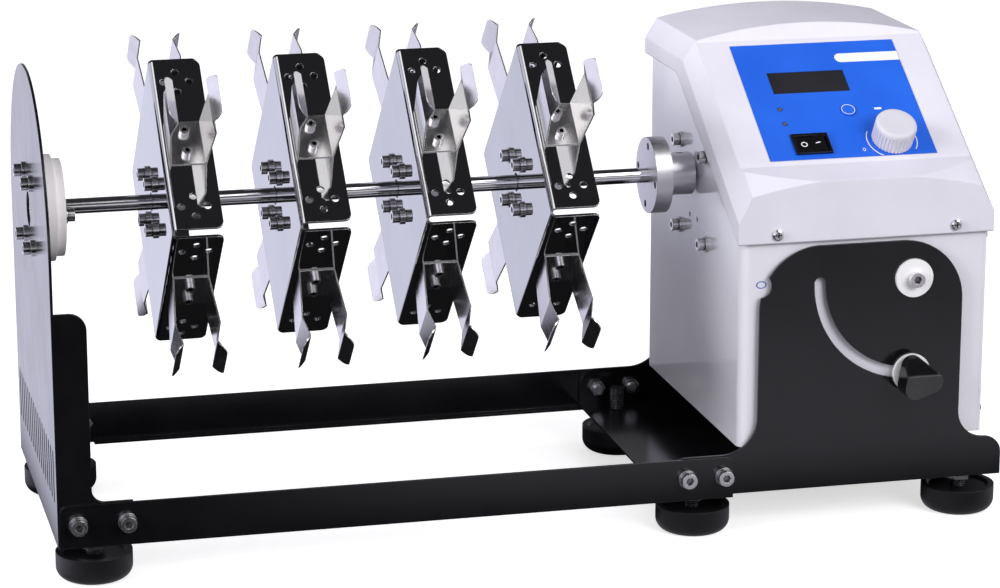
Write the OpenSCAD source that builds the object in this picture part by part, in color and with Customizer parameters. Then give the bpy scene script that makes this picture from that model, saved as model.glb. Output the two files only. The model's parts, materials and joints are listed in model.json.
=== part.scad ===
// Laboratory tube rotator: a drive head in a yoke turns a long shaft with four clip holders.
// Millimetres, +X along the shaft from the end support to the head, -Y to the front, +Z up.

/* [Base frame] */
// Length from the end plate's outer face to the yoke's far end
frame_length = 528; // [470:1:600]
// Depth over the outer faces of the upright plates
base_depth = 186; // [180:1:200]
// Height of the frame's underside above the bench
underside = 22; // [20:0.5:30]
// Thickness of the frame's sheet metal
sheet = 1.5; // [1:0.25:2]
// Height of the rails and of the low tabs that they are screwed to
rail_height = 24; // [20:0.5:28]
// Inward lip along a rail's lower edge
rail_lip = 5; // [4:0.5:8]
// How far a rail reaches over the yoke's low tab
rail_overlap = 37.2; // [34:0.1:40]
// Radius of a rail's upper corners
rail_corner_r = 5; // [2:0.5:8]

/* [End support] */
// Height of the end plate's top above the bench
end_height = 262; // [250:1:264]
// Width of the flat left at the end plate's round top
end_top_flat = 6; // [4:1:100]
// Width of the end support's upright flanges
end_flange = 18.5; // [15:0.5:24]
// Height of the upright flanges above the bench
end_flange_top = 149; // [100:1:155]
// Length of the end support's low tabs that the rails are screwed to
end_tab_length = 40; // [38:0.5:50]
// Width of the end support's sole
end_sole = 28; // [28:0.5:36]
// Number of air slots
slot_count = 17; // [5:1:19]
// Width of an air slot
slot_w = 4; // [2:0.25:6]
// Height of an air slot
slot_h = 29; // [15:1:40]
// Height of the air slots' lower ends above the bench
slot_bottom = 44; // [36:1:60]
// Distance of the outermost air slots from the end plate's sides
slot_margin = 11.4; // [10:0.1:24]

/* [Bearing block] */
// Diameter of the block's flange
block_d = 58; // [52:1:70]
// Length of the block's flange
block_flange = 11; // [9:0.5:15]
// Diameter of the block's nose
block_nose_d = 53; // [42:1:56]
// Length of the block's nose
block_nose = 5; // [4:0.5:10]
// Circle of the block's screws
block_screw_pcd = 50; // [44:0.5:51]
// Outer diameter of the end bearing
bearing_d = 22; // [19:0.5:24]
// Width of the end bearing
bearing_w = 7; // [5:0.5:8]

/* [Yoke] */
// Length of the yoke along the frame
yoke_length = 194.5; // [190:0.5:200]
// Left edge of an upright plate, from the yoke's left end
yoke_plate_at = 51.1; // [48:0.1:54]
// Width of an upright plate
yoke_plate_w = 117.4; // [112:0.1:122]
// Height of the upright plates' top above the bench
yoke_top = 161.5; // [155:0.5:162]
// Radius of the upright plates' upper corners
yoke_corner_r = 35; // [20:1:40]
// Fillet from the left tab up to the plate
yoke_fillet_left = 20; // [10:1:28]
// Fillet from the right tab up to the plate
yoke_fillet_right = 16; // [8:1:18]
// Radius of the low tabs' upper corners
yoke_tab_r = 10; // [4:0.5:14]
// Radius of the angle mark's notch
notch_r = 6.7; // [4:0.1:9]
// Place of the tilt pivot, from an upright plate's left edge
pivot_at = 88.4; // [84:0.1:91]
// Height of the tilt pivot
pivot_z = 140.3; // [132:0.1:142]
// Radius of the tilt slot's middle line
tilt_slot_r = 54; // [46:0.5:56]
// Width of the tilt slot
tilt_slot_w = 6.6; // [6.5:0.1:9]
// Tilt travel that the slot is cut for
tilt_slot_angle = 90; // [60:1:95]

/* [Feet] */
// Diameter of a foot's pad
foot_d = 41; // [32:0.5:44]
// Height of a foot's pad
foot_h = 15; // [12:0.5:16]
// Radius of the pad's round lower edge
foot_edge_r = 7; // [3:0.5:9]
// Distance of the feet from the frame's sides
foot_side = 16; // [15:0.5:25]
// Distances of the foot pairs from the end plate, the yoke's left end and the yoke's far end
foot_insets = [20.5, 19.3, 18.7];
// Diameter of a foot's threaded stud
foot_stud_d = 8; // [6:0.5:9]
// Height of a foot's stud top above the bench
foot_stud_top = 38; // [36:0.5:46]

/* [Head] */
// Left face of the head, from the yoke's left end
head_at = 41.5; // [38.5:0.5:44.5]
// Length of the head from its left face to its cover's outer face
head_length = 141.7; // [139:0.1:144]
// Gap between the head and an upright plate of the yoke
head_side_gap = 2.65; // [2:0.05:4]
// Height of the head's underside above the bench
head_bottom = 48.3; // [42:0.1:54]
// Thickness of the head's sheet metal
head_sheet = 1.5; // [1:0.25:2]
// Outer radius of the head's upright bends
head_bend_r = 5; // [3:0.5:8]
// Width of the return flanges under the right cover
return_flange = 12; // [10:0.5:16]
// How far the sheet reaches up under the hood
hood_overlap = 8; // [7.5:0.5:8.5]

/* [Hood] */
// Wall of the moulded hood
hood_wall = 2.5; // [2:0.25:3]
// Gap between the hood and the sheet inside it
hood_gap = 0.3; // [0.2:0.05:0.5]
// Height of the hood's roof along its side creases
hood_roof = 257.5; // [254:0.5:262]
// Rise of the crowned roof over its creases
hood_crown = 7; // [3:0.5:9]
// Width of the steep side band between crease and side
hood_band_w = 7; // [5:0.5:9]
// Height of the steep side band
hood_band_h = 11.6; // [9:0.1:13]
// Height of the hood's lower edge at the back
hood_edge_back = 237; // [234:0.5:240]
// Height of the hood's lower edge at the front
hood_edge_front = 163.5; // [163:0.5:168]
// Where the lower edge starts to fall, behind the middle plane
hood_edge_knee = 28; // [22:1:36]

/* [Control panel] */
// Slope of the panel
panel_slope = 33.2; // [30:0.1:35]
// Place of the panel's upper edge behind the middle plane
panel_top_y = 8.7; // [5:0.1:12]
// Height of the panel's upper edge
panel_top_z = 254; // [251:0.1:256]
// Width of the panel
panel_w = 96.8; // [90:0.1:104]
// Length of the panel down the slope
panel_l = 91.4; // [88:0.1:95]
// Thickness of the panel
panel_t = 1; // [0.8:0.1:1.5]
// How deep the panel is let into the hood
panel_inset = 0.8; // [0.5:0.1:1]
// Angle of the hood's ramps above and below the panel
scoop_ramp = 20; // [15:1:30]
// Flat rim of the hood above and below the panel
scoop_rim = 4; // [2:0.5:6]
// Width of the display's window
window_w = 45; // [35:0.5:48]
// Length of the display's window down the slope
window_l = 17; // [12:0.5:18]
// Diameter of the speed knob
knob_d = 23.2; // [20:0.2:25]
// Height of the speed knob
knob_h = 13; // [10:0.5:18]
// Number of grooves round the speed knob
knob_grooves = 36; // [18:1:40]
// Diameter of the mode button
button_d = 8.4; // [6:0.1:10]
// Travel of the mode button
button_travel = 0.6; // [0.3:0.1:0.8]
// Length of the switch's bezel
switch_l = 21; // [19:0.1:23]
// Width of the switch's bezel
switch_w = 15; // [13:0.1:16]
// Swing of the rocker from off to on
rocker_swing = 16; // [10:1:18]
// Diameter of an indicator light
led_d = 3; // [2:0.1:5]

/* [Drive] */
// Height of the shaft's axis above the bench
shaft_z = 184.5; // [182:0.5:188]
// Drop from the shaft's axis to the motor's axis
motor_drop = 10.7; // [9:0.1:12]
// Side of the square gearbox
gearbox_side = 60; // [58:0.5:64]
// Spacing of the gearbox's mounting screws
gearbox_screw_span = 50; // [48:0.5:52]
// Wall of the gearbox
gearbox_wall = 3; // [2.5:0.25:3.25]
// Length of the gearbox's case
gearbox_length = 25; // [24:0.5:30]
// Outer diameter of the motor
motor_d = 58; // [50:0.5:60]
// Length of the motor
motor_length = 70; // [60:1:80]
// Module of the gear teeth
gear_module = 0.75; // [0.7:0.01:0.77]
// Teeth of the two pinions
pinion_teeth = 10; // [9:1:11]
// Teeth of the two gears
gear_teeth = 30; // [28:1:31]
// Width of the gear teeth
gear_w = 6; // [4:0.5:6.5]
// Diameter of the gearbox's output shaft
output_d = 8; // [6:0.5:8.5]

/* [Rotor] */
// Diameter of the rotor's shaft
shaft_d = 8.5; // [8:0.1:10]
// Diameter of the shaft's journal in the end bearing
journal_d = 8; // [6:0.5:8]
// Diameter of a hub's flange
hub_d = 43; // [40:0.5:50]
// Thickness of a hub's flange
hub_flange = 9.5; // [7:0.5:12]
// Diameter of a hub's boss
hub_boss_d = 24; // [18:0.5:28]
// Length of a hub's boss
hub_boss = 16; // [12:0.5:17]
// Circle of the drive hub's four empty holes
hub_pcd = 34; // [31:0.5:34.5]
// Circle of the four screws that hold a holder to its hub
holder_pcd = 36; // [35.5:0.5:37]
// Gap between the drive hub and the head
hub_gap = 2.5; // [2:0.25:5]
// Number of tube holders
holder_count = 4; // [4:1:4]
// Place of the first holder's plate, from the end plate's outer face
holder_first = 66.6; // [55:0.1:72]
// Distance from the last holder's plate to the drive hub
holder_last = 75.8; // [60:0.1:85]
// Side of a holder's square
holder_side = 113.5; // [104:0.5:116]
// Thickness of a holder's sheet
holder_sheet = 1.5; // [1:0.25:2]
// Outer bend radius of a holder
holder_bend_r = 3; // [2.25:0.25:4]
// Width of a holder's flange
holder_flange = 27.5; // [25:0.5:32]
// Distance from a flange's end to the holder's corner
holder_relief = 3.5; // [3:0.25:6]
// Radius of a flange's free corners
holder_corner_r = 4; // [2:0.5:6]
// Distance of a flange's hole groups from its middle
hole_group_at = 39.5; // [33:0.5:41]
// Diameter of a flange's spare holes
spare_hole_d = 4; // [3:0.1:4.5]
// Half width and half length of a spare hole group
spare_hole_reach = [7, 6.2];

/* [Tube clips] */
// Length of a clip along the tube
clip_l = 27; // [20:0.5:32]
// Thickness of the spring steel
clip_t = 0.8; // [0.5:0.1:1]
// Half width of the clip's base
clip_base = 9.9; // [8:0.1:10]
// Half width and height of the arms' bulge
clip_bulge = [12.4, 29];
// Half width and height of the arms' neck
clip_neck = [9.6, 40];
// Half width and height of the arms' tips
clip_tip = [13.9, 46];
// Radius of the tips' corners
clip_corner_r = 5; // [1:0.5:5]
// Spacing of a clip's two screws
clip_screw_pitch = 13; // [10:0.5:15]

/* [Hidden] */
$fn = 96;
// Running and assembly clearances
run = 0.05;
fit = 0.1;
clear = 0.3;
// Socket screws: thread, head diameter, head height, captive washer diameter and thickness
m3 = [3, 5.5, 3, 7, 0.8];
m4 = [4, 7, 4, 9, 1.6];
m5 = [5, 8.5, 5, 10, 1.2];
// Nuts: thread, width over flats, height
m5_nut = [5, 8, 4];
foot_nut = [foot_stud_d, foot_stud_d * 1.625, foot_stud_d * 0.7];
clamp_stud_d = 6;
clamp_nut = [clamp_stud_d, 10, 5];
// Frame
plate_y = base_depth / 2;
tab_top = underside + rail_height;
rail_screw_z = underside + rail_height * 0.53;
rail_screw_inset = 10.6;
rail_screw_edge = 3.4;
yoke_screw_step = 21;
rail_end_x = 0.7;
rail_top_gap = 0.5;
rail_lip_gap = 2;
end_fillet = 7;
slot_pitch = (base_depth - 2 * slot_margin) / (slot_count - 1);
end_corner_r = plate_y - end_top_flat / 2;
yoke_left = frame_length - yoke_length;
yoke_bottom = underside + sheet;
yoke_plate_left = yoke_left + yoke_plate_at;
yoke_plate_right = yoke_plate_left + yoke_plate_w;
pivot_x = yoke_plate_left + pivot_at;
rail_length = yoke_left + rail_overlap - rail_end_x;
end_screws_x = [rail_screw_inset, end_tab_length - rail_screw_edge];
yoke_screws_x = [yoke_left + rail_screw_inset, yoke_left + rail_screw_inset + yoke_screw_step];
foot_x = [foot_insets[0], yoke_left + foot_insets[1], frame_length - foot_insets[2]];
foot_y = plate_y - foot_side;
block_bore = 19;
// Head
head_x = yoke_left + head_at;
head_depth = base_depth - 2 * (sheet + head_side_gap);
head_right = head_x + head_length;
head_y = head_depth / 2;
hood_half = head_length / 2 + hood_gap + hood_wall;
hood_mid_x = head_x + head_length / 2;
hood_y = head_y + hood_gap + hood_wall;
crease = hood_half - hood_band_w;
crown_r = (pow(crease, 2) + pow(hood_crown, 2)) / (2 * hood_crown);
panel_seat = panel_inset + hood_wall;
// How far the slope's side creases stand over the panel's plane
crease_lift = 0.5;
// How much higher the slope's crown is than the roof's
slope_crown_lift = 0.8;
pivot_washer = [21.5, 2];
spacer_d = 16;
// Panel parts, from the panel's upper edge middle: across, down the slope
window_at = [-10.2, -31.3];
lights_at = [[-32.6, -51.9], [-32.6, -63.3]];
button_at = [6.4, -55.3];
switch_at = [-21.9, -80.5];
knob_at = [25.2, -79.6];
board_depth = 13;
board_t = 1.6;
switch_cut = [switch_l - 2, switch_w - 2];
rocker_l = switch_l - 3.8;
rocker_w = switch_w - 4;
rocker_r = rocker_l / 2;
rocker_axis = -1.6;
pot_d = 17;
pot_bush_d = 7;
pot_shaft_d = 6;
// Drive
motor_z = shaft_z - motor_drop;
gearbox_x = head_x + head_sheet;
lid_x = gearbox_x + gearbox_length;
motor_x = lid_x + gearbox_wall;
gearbox_inside = gearbox_side - 2 * gearbox_wall;
gear_distance = gear_module * (pinion_teeth + gear_teeth) / 2;
idler_z = (shaft_z + motor_z) / 2;
idler_y = sqrt(pow(gear_distance, 2) - pow(motor_drop / 2, 2));
idler_shaft_d = 3;
motor_shaft_d = 4;
pressure_angle = 20;
tooth_shift = 0.4;
backlash = 0.12;
motor_screw_grip = 10;
output_gear_x = gearbox_x + gearbox_wall + 4.4;
first_stage_x = lid_x - gear_w - 3;
// Rotor
hub_x = head_x - hub_gap - hub_boss - hub_flange;
hub_shaft_end = hub_x + hub_flange * 0.6;
drive_hub_turn = 7;
holder_pitch = (hub_x - holder_last - holder_first) / (holder_count - 1);
flange_l = holder_side - 2 * holder_relief;
clip_x = holder_flange / 2 - 0.35;
// Clamp
clamp_knob_h = 17;
clamp_z = pivot_z - tilt_slot_r;
// Reach of the whole part, for the origin in the middle of its footprint
left_reach = -m4[2] - m4[4];
front_reach = -plate_y - pivot_washer[1] - clear - clamp_knob_h;
rear_reach = plate_y + m5[2] + max(pivot_washer[1], sheet + m5[4]);

// Shared shapes

// Moves the part so that the origin is under the middle of its box
module place()
    translate([-(left_reach + frame_length) / 2, -(front_reach + rear_reach) / 2, 0])
        children();

// A flat outline in X and Z, thickened along +Y from y0
module upright(y0, t)
    translate([0, y0 + t, 0])
        rotate([90, 0, 0])
            linear_extrude(t)
                children();

// A flat outline in Y and Z, thickened along +X from x0
module facing_x(x0, t)
    translate([x0, 0, 0])
        rotate([90, 0, 90])
            linear_extrude(t)
                children();

// A round bar along X
module rod_x(d, x0, x1)
    translate([x0, 0, 0])
        rotate([0, 90, 0])
            cylinder(d = d, h = x1 - x0);

// A round bar along Y
module rod_y(d, y0, y1)
    translate([0, y0, 0])
        rotate([-90, 0, 0])
            cylinder(d = d, h = y1 - y0);

// A rectangle between two corners
module area(low, high)
    translate(low)
        square([high[0] - low[0], high[1] - low[1]]);

// A rectangle between two corners with all four corners round
module soft_area(low, high, r) {
    area([low[0] + r, low[1]], [high[0] - r, high[1]]);
    area([low[0], low[1] + r], [high[0], high[1] - r]);
    for (x = [low[0] + r, high[0] - r], y = [low[1] + r, high[1] - r])
        translate([x, y])
            circle(r);
}

// The corner piece of an inner fillet at a corner point, reaching along sx and sy
module fillet_area(at, r, sx, sy)
    translate(at)
        difference() {
            area([min(0, sx * r), min(0, sy * r)], [max(0, sx * r), max(0, sy * r)]);
            translate([sx * r, sy * r])
                circle(r);
        }

// A socket screw with a captive washer: its seat is at the origin, its head points to +Z
module socket_screw(size, length) {
    socket_depth = size[2] * 0.6;
    difference() {
        union() {
            translate([0, 0, -length])
                cylinder(d = size[0], h = length + size[4]);
            cylinder(d = size[3], h = size[4]);
            translate([0, 0, size[4] - 0.01])
                cylinder(d = size[1], h = size[2] + 0.01);
        }
        translate([0, 0, size[4] + size[2] - socket_depth])
            cylinder(d = size[0] * 0.95, h = socket_depth + 1, $fn = 6);
    }
}

// A hexagon nut standing on the origin along +Z
module hex_nut(size)
    difference() {
        cylinder(d = size[1] / cos(30), h = size[2], $fn = 6);
        translate([0, 0, -1])
            cylinder(d = size[0] + 2 * fit, h = size[2] + 2);
    }

// Points children's +Z to the front, to the rear, to -X and to +X
module to_front() rotate([90, 0, 0]) children();
module to_rear() rotate([-90, 0, 0]) children();
module to_left() rotate([0, -90, 0]) children();
module to_right() rotate([0, 90, 0]) children();

// Base frame

module end_plate_area() {
    area([-plate_y, underside], [plate_y, end_height - end_corner_r]);
    soft_area([-plate_y, end_height - 2 * end_corner_r - 1], [plate_y, end_height], end_corner_r);
}

module end_flange_area() {
    r = end_flange * 0.5;
    area([0, underside], [end_flange, end_flange_top - r]);
    area([0, underside], [end_flange - r, end_flange_top]);
    translate([end_flange - r, end_flange_top - r])
        circle(r);
    area([0, underside], [end_tab_length, tab_top]);
    fillet_area([end_flange, tab_top], end_fillet, 1, 1);
}

module block_screw_places()
    for (a = [45:90:315])
        translate([0, block_screw_pcd / 2 * cos(a), shaft_z + block_screw_pcd / 2 * sin(a)])
            children();

module rail_screw_places(list)
    for (x = list)
        translate([x, 0, rail_screw_z])
            children();

module foot_places(list)
    for (x = list, s = [-1, 1])
        translate([x, s * foot_y, 0])
            children();

module end_support()
    color([0.09, 0.09, 0.1])
        difference() {
            union() {
                facing_x(0, sheet)
                    end_plate_area();
                for (y0 = [-plate_y, plate_y - sheet])
                    upright(y0, sheet)
                        end_flange_area();
                translate([0, -plate_y, underside])
                    cube([end_sole, base_depth, sheet]);
            }
            translate([0, 0, shaft_z])
                rod_x(block_bore, -1, sheet + 1);
            block_screw_places()
                rod_x(m4[0] + 2 * fit, -1, sheet + 1);
            facing_x(-1, sheet + 2)
                for (i = [0:slot_count - 1]) {
                    y = (i - (slot_count - 1) / 2) * slot_pitch;
                    soft_area([y - slot_w / 2, slot_bottom], [y + slot_w / 2, slot_bottom + slot_h],
                              slot_w * 0.49);
                }
            rail_screw_places(end_screws_x)
                rod_y(m5[0] + 2 * fit, -plate_y - 1, plate_y + 1);
            foot_places([foot_x[0]])
                translate([0, 0, underside - 1])
                    cylinder(d = foot_stud_d + 2 * fit, h = sheet + 2);
        }

module rail_area()
    difference() {
        soft_area([rail_end_x, underside - rail_corner_r * 2],
                  [rail_end_x + rail_length, tab_top - rail_top_gap], rail_corner_r);
        area([-1, underside - rail_corner_r * 2 - 1], [rail_end_x + rail_length + 1, underside]);
    }

// The front rail; the rear one is its mirror image
module rail() {
    lip_start = end_tab_length + rail_lip_gap;
    difference() {
        union() {
            upright(-plate_y - sheet, sheet)
                rail_area();
            translate([lip_start, -plate_y - sheet, underside])
                cube([rail_end_x + rail_length - lip_start, rail_lip + sheet, sheet]);
        }
        rail_screw_places(concat(end_screws_x, yoke_screws_x))
            rod_y(m5[0] + 2 * fit, -plate_y - sheet - 1, -plate_y + 1);
    }
}

module front_rail()
    color([0.1, 0.1, 0.11])
        rail();

module rear_rail()
    color([0.1, 0.1, 0.11])
        mirror([0, 1, 0])
            rail();

module yoke_area() {
    difference() {
        soft_area([yoke_left, yoke_bottom - 2 * yoke_tab_r], [frame_length, tab_top], yoke_tab_r);
        area([yoke_left - 1, yoke_bottom - 3 * yoke_tab_r], [frame_length + 1, yoke_bottom]);
    }
    soft_area([yoke_plate_left, yoke_bottom], [yoke_plate_right, yoke_top], yoke_corner_r);
    area([yoke_plate_left, yoke_bottom], [yoke_plate_right, yoke_top - yoke_corner_r]);
    fillet_area([yoke_plate_left, tab_top], yoke_fillet_left, -1, 1);
    fillet_area([yoke_plate_right, tab_top], yoke_fillet_right, 1, 1);
}

// The tilt slot's outline: from straight below the pivot round to its left
module tilt_slot_area()
    translate([pivot_x, pivot_z]) {
        reach = tilt_slot_r * 2;
        intersection() {
            difference() {
                circle(tilt_slot_r + tilt_slot_w / 2);
                circle(tilt_slot_r - tilt_slot_w / 2);
            }
            polygon([[0, 0], [0, -reach], [-reach, -reach],
                     [-reach * sin(tilt_slot_angle), -reach * cos(tilt_slot_angle)]]);
        }
        for (a = [0, tilt_slot_angle])
            translate([-tilt_slot_r * sin(a), -tilt_slot_r * cos(a)])
                circle(d = tilt_slot_w);
    }

module yoke()
    color([0.09, 0.09, 0.1])
        difference() {
            union() {
                upright(-plate_y, sheet)
                    difference() {
                        yoke_area();
                        translate([yoke_plate_left, pivot_z])
                            circle(notch_r);
                        tilt_slot_area();
                    }
                upright(plate_y - sheet, sheet)
                    yoke_area();
                translate([yoke_left, -plate_y, yoke_bottom])
                    cube([yoke_length, base_depth, sheet]);
            }
            translate([pivot_x, 0, pivot_z])
                rod_y(m5[0] + 4 * fit, -plate_y - 1, plate_y + 1);
            rail_screw_places(yoke_screws_x)
                rod_y(m5[0] + 2 * fit, -plate_y - 1, plate_y + 1);
            foot_places([foot_x[1], foot_x[2]])
                translate([0, 0, yoke_bottom - 1])
                    cylinder(d = foot_stud_d + 2 * fit, h = sheet + 2);
        }

module rail_screws()
    color([0.75, 0.75, 0.77])
        rail_screw_places(concat(end_screws_x, yoke_screws_x)) {
            translate([0, -plate_y - sheet, 0])
                to_front()
                    socket_screw(m5, 2 * sheet + m5_nut[2] + 1.5);
            translate([0, plate_y + sheet, 0])
                to_rear()
                    socket_screw(m5, 2 * sheet + m5_nut[2] + 1.5);
        }

module rail_nuts()
    color([0.7, 0.7, 0.72])
        rail_screw_places(concat(end_screws_x, yoke_screws_x)) {
            translate([0, -plate_y + sheet, 0])
                to_rear()
                    hex_nut(m5_nut);
            translate([0, plate_y - sheet, 0])
                to_front()
                    hex_nut(m5_nut);
        }

module foot_nuts()
    color([0.7, 0.7, 0.72])
        for (i = [0:len(foot_x) - 1])
            foot_places([foot_x[i]])
                translate([0, 0, (i == 0 ? underside : yoke_bottom) - foot_nut[2]])
                    hex_nut(foot_nut);

// A levelling foot: a moulded pad on a threaded steel stud
module levelling_foot(index)
    translate([foot_x[floor(index / 2)], (index % 2 == 0 ? -1 : 1) * foot_y, 0]) {
        stud_bottom = foot_h / 3;
        dish = 1.5;
        rim = 3;
        difference() {
            rotate_extrude() {
                area([0, 0], [foot_d / 2 - foot_edge_r, foot_edge_r]);
                intersection() {
                    translate([foot_d / 2 - foot_edge_r, foot_edge_r])
                        circle(foot_edge_r);
                    area([0, 0], [foot_d / 2, foot_edge_r]);
                }
                polygon([[0, foot_edge_r], [foot_d / 2, foot_edge_r], [foot_d / 2, foot_h],
                         [foot_d / 2 - rim, foot_h], [foot_d / 2 - rim - dish, foot_h - dish],
                         [0, foot_h - dish]]);
            }
            translate([0, 0, stud_bottom])
                cylinder(d = foot_stud_d + fit, h = foot_h);
        }
        translate([0, 0, stud_bottom])
            cylinder(d = foot_stud_d, h = foot_stud_top - stud_bottom);
    }

module bearing_block()
    color([0.93, 0.92, 0.93])
        difference() {
            union() {
                translate([0, 0, shaft_z]) {
                    rod_x(block_d, sheet, sheet + block_flange);
                    rod_x(block_nose_d, sheet + block_flange - 1, sheet + block_flange + block_nose);
                }
            }
            translate([0, 0, shaft_z]) {
                rod_x(block_bore, 0, sheet + block_flange + block_nose + 1);
                rod_x(bearing_d + fit, sheet + block_flange + block_nose - bearing_w,
                      sheet + block_flange + block_nose + 1);
            }
            block_screw_places()
                rod_x(m4[0] + 2 * fit, 0, sheet + block_flange - 0.5);
            retainer_place()
                rod_x(m4[0] + 2 * fit, -9, 1);
        }

// The screw that keeps the bearing in the block's nose, in front of the shaft
module retainer_place()
    translate([sheet + block_flange + block_nose, -bearing_d / 2 - m4[0] / 2 - 1.2, shaft_z - 1.5])
        children();

module end_bearing()
    color([0.6, 0.6, 0.63])
        translate([sheet + block_flange + block_nose - bearing_w, 0, shaft_z])
            difference() {
                rod_x(bearing_d, 0, bearing_w);
                rod_x(journal_d + 2 * run, -1, bearing_w + 1);
            }

module bearing_screws()
    color([0.75, 0.75, 0.77]) {
        block_screw_places()
            to_left()
                socket_screw(m4, sheet + block_flange - 2);
        retainer_place()
            to_right()
                socket_screw(m4, 8);
    }

// Head

// Side outline of the sheet and the cover in Y and Z: its top follows the hood's lower edge
module head_side_area(y)
    polygon([[-y, head_bottom], [y, head_bottom], [y, hood_edge_back + hood_overlap],
             [hood_edge_knee, hood_edge_back + hood_overlap], [-y, hood_edge_front + hood_overlap]]);

// Plan outline of the sheet: left wall, front and rear walls and two return flanges
module shell_plan() {
    right = head_right - head_sheet;
    inner_r = head_bend_r - head_sheet;
    difference() {
        soft_area([head_x, -head_y], [right + 2 * head_bend_r, head_y], head_bend_r);
        soft_area([head_x + head_sheet, -head_y + head_sheet],
                  [right + 2 * head_bend_r, head_y - head_sheet], inner_r);
        area([right, -head_y - 1], [right + 3 * head_bend_r, head_y + 1]);
    }
    for (s = [-1, 1])
        area([right - head_sheet, min(s * head_y, s * (head_y - return_flange))],
             [right, max(s * head_y, s * (head_y - return_flange))]);
}

module gearbox_screw_places()
    for (y = [-1, 1], z = [-1, 1])
        translate([0, y * gearbox_screw_span / 2, motor_z + z * gearbox_screw_span / 2])
            children();

module cover_screw_places()
    for (s = [-1, 1], z = [head_bottom + 12, hood_edge_front - 3.5])
        translate([head_right, s * (head_y - return_flange / 2), z])
            children();

// Hood screws: across from the hood's middle and up from its lower edge
hood_screw_x = 51.5;
hood_screw_up = 5;

module hood_screw_places(s)
    for (x = [-1, 1])
        translate([hood_mid_x + x * hood_screw_x, s * hood_y,
                   (s < 0 ? hood_edge_front : hood_edge_back - 1) + hood_screw_up])
            children();

// Mains inlet: width and height of its bezel, and how far it is below the hood's lower edge
inlet_w = 30;
inlet_h = 24;
inlet_drop = 37;

module inlet_place()
    translate([hood_mid_x, head_y, hood_edge_back - inlet_drop])
        children();

module head_shell()
    color([0.9, 0.9, 0.92])
        difference() {
            intersection() {
                translate([0, 0, head_bottom])
                    linear_extrude(hood_roof)
                        shell_plan();
                facing_x(head_x - 1, head_length + 2)
                    head_side_area(head_y + 0.01);
            }
            translate([0, 0, shaft_z])
                rod_x(output_d + 4, head_x - 1, head_x + head_sheet + 1);
            gearbox_screw_places()
                rod_x(m4[0] + 2 * fit, head_x - 1, head_x + head_sheet + 1);
            for (y = [-7, 7])
                translate([0, y, shaft_z - motor_drop - gearbox_side / 4])
                    rod_x(3, head_x - 1, head_x + head_sheet + 1);
            translate([pivot_x, 0, pivot_z])
                rod_y(m5[0] + 2 * fit, -head_y - 1, head_y + 1);
            translate([pivot_x, 0, clamp_z])
                rod_y(clamp_stud_d + 2 * fit, -head_y - 1, 0);
            cover_screw_places()
                rod_x(m3[0] + 2 * fit, -2 * head_sheet - 1, 1);
            hood_screw_places(-1)
                rod_y(m3[0] + 2 * fit, -1, hood_wall + head_sheet + 3);
            hood_screw_places(1)
                rod_y(m3[0] + 2 * fit, -hood_wall - head_sheet - 3, 1);
            inlet_place()
                upright(-head_sheet - 1, head_sheet + 2)
                    area([-inlet_w / 2 + 2, -inlet_h / 2 + 2], [inlet_w / 2 - 2, inlet_h / 2 - 2]);
        }

module right_cover()
    color([0.9, 0.9, 0.92])
        difference() {
            facing_x(head_right - head_sheet, head_sheet)
                head_side_area(head_y);
            cover_screw_places()
                rod_x(m3[0] + 2 * fit, -head_sheet - 1, 1);
        }

module bottom_plate()
    color([0.85, 0.85, 0.87])
        translate([0, 0, head_bottom])
            linear_extrude(head_sheet)
                soft_area([head_x + head_sheet + fit, -head_y + head_sheet + fit],
                          [head_right - 2 * head_sheet - fit, head_y - head_sheet - fit],
                          head_bend_r - head_sheet);

// Cross-section of the hood with every face moved in by t: lifted crown, steep bands, upright sides
module hood_section(t, lift) {
    band = sqrt(pow(hood_band_w, 2) + pow(hood_band_h, 2));
    half = hood_half - t;
    rise = hood_band_h / hood_band_w;
    // Where the moved band meets the side, and how far in it is well above the crown
    low = -hood_band_h - t * (band - hood_band_h) / hood_band_w;
    above = hood_crown + 5;
    top_half = half - (above - low) / rise;
    deep = hood_roof;
    intersection() {
        polygon([[-half, -deep], [half, -deep], [half, low], [top_half, above],
                 [-top_half, above], [-half, low]]);
        translate([0, hood_crown + lift - crown_r])
            circle(crown_r - t);
    }
}

// The frame of the sloping panel: origin at its upper edge's middle, +Y up the slope, +Z out of it
module on_slope()
    translate([hood_mid_x, panel_top_y, panel_top_z])
        rotate([panel_slope, 0, 0])
            children();

// The hood's body with its outer faces moved in by t
module hood_form(t)
    intersection() {
        translate([hood_mid_x, hood_y - t, hood_roof])
            rotate([90, 0, 0])
                linear_extrude(2 * (hood_y - t))
                    hood_section(t, 0);
        on_slope()
            translate([0, 2 * hood_roof, crease_lift])
                rotate([90, 0, 0])
                    linear_extrude(4 * hood_roof)
                        hood_section(t, slope_crown_lift);
    }

// The flat scoop that carries the panel, with ramps at its upper and lower ends, moved in by t
module scoop(t) {
    high = hood_crown + 10;
    run_out = high / tan(scoop_ramp);
    on_slope()
        translate([0, 0, -t])
            facing_x(-hood_half - 5, 2 * hood_half + 10)
                polygon([[scoop_rim + t, 0], [scoop_rim + t + run_out, high],
                         [-panel_l - scoop_rim - t - run_out, high], [-panel_l - scoop_rim - t, 0]]);
}

// Side outline under which the hood is cut off, in Y and Z
beyond = 5;
hood_edge_fall = (hood_edge_back - hood_edge_front) / (hood_edge_knee + hood_y);
module below_hood_area()
    polygon([[-hood_y - beyond, 0], [hood_y + beyond, 0], [hood_y + beyond, hood_edge_back],
             [hood_edge_knee, hood_edge_back],
             [-hood_y - beyond, hood_edge_front - beyond * hood_edge_fall]]);

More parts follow.
